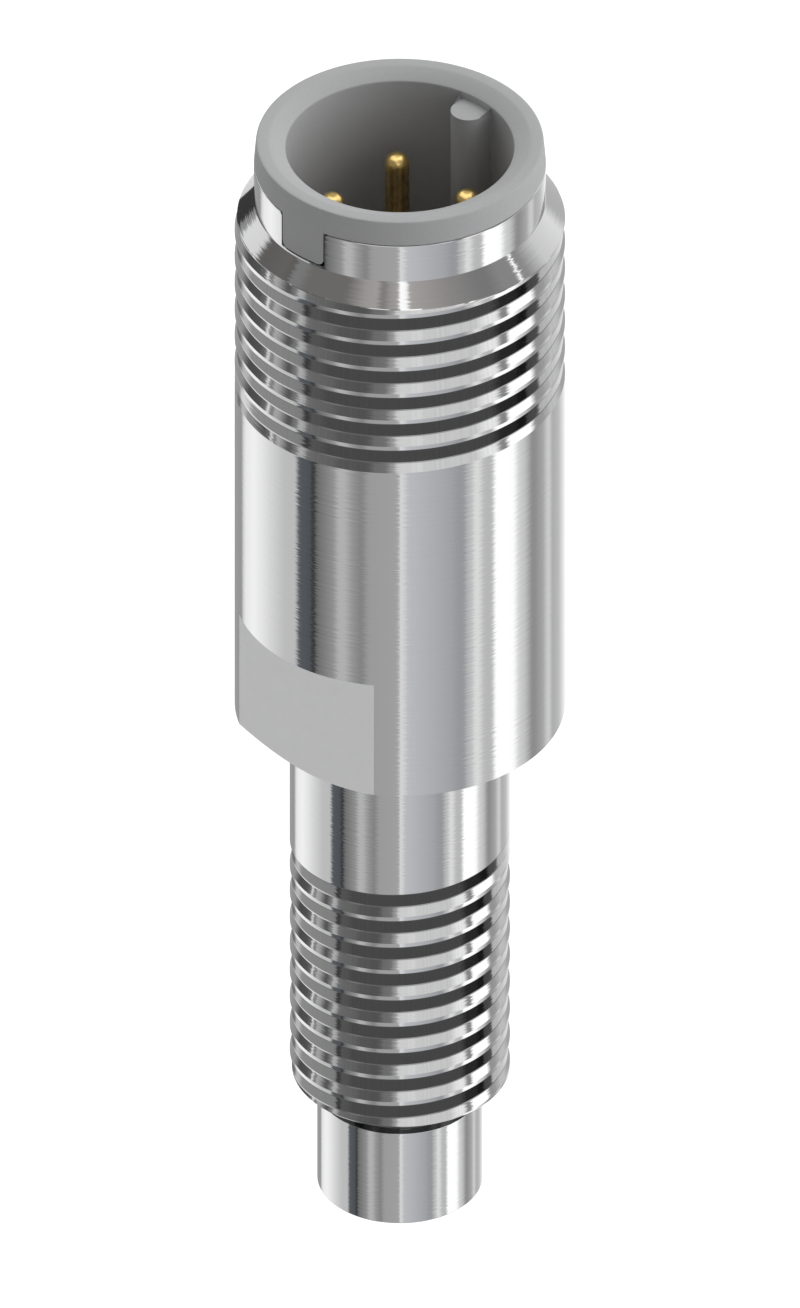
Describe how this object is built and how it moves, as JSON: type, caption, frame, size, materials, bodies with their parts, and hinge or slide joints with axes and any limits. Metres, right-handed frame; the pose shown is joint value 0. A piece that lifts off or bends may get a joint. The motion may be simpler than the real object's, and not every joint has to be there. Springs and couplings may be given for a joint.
{
  "type": "temperature sensor",
  "caption": "Screw-in temperature sensor: turned steel housing with plug thread, wrench flats, conical seat, process thread and short tip, and a moulded plug insert with gold pins.",
  "frame": {"origin": "on the axis, in the plane where the conical seat meets the neck", "axes": "+Z along the axis towards the plug; +Y towards the plug's coding rib; the carrier's tab is on -Y"},
  "size_m": [0.012, 0.012, 0.0459],
  "materials": {
    "stainless_steel": "turned, satin",
    "carrier_plastic": "moulded, fine matt",
    "contact_gold": "gold plated, bright",
    "seal_rubber": "smooth",
    "copper": "stranded copper",
    "insulation_brown": "smooth",
    "insulation_white": "smooth",
    "insulation_blue": "smooth",
    "insulation_black": "smooth",
    "tinned_crimp": "tinned copper",
    "shrink_tube": "smooth",
    "platinum_lead": "drawn wire",
    "ceramic": "fired ceramic",
    "bead_glass": "fused glass",
    "thermal_paste": "white paste",
    "potting_resin": "cured resin"
  },
  "bodies": {
    "root": {"housing": "stainless_steel", "contact_carrier": "carrier_plastic", "carrier_seal": "seal_rubber", "contact_pin_1": "contact_gold", "lead_core_1": "copper", "lead_insulation_1": "insulation_brown", "contact_pin_2": "contact_gold", "lead_core_2": "copper", "lead_insulation_2": "insulation_white", "contact_pin_3": "contact_gold", "lead_core_3": "copper", "lead_insulation_3": "insulation_blue", "contact_pin_4": "contact_gold", "lead_core_4": "copper", "lead_insulation_4": "insulation_black", "crimp_sleeve_a": "tinned_crimp", "shrink_sleeve_a": "shrink_tube", "element_lead_a": "platinum_lead", "crimp_sleeve_b": "tinned_crimp", "shrink_sleeve_b": "shrink_tube", "element_lead_b": "platinum_lead", "lead_spacer": "ceramic", "element_chip": "ceramic", "element_bead": "bead_glass", "thermal_paste": "thermal_paste", "potting": "potting_resin"}
  },
  "joints": []
}
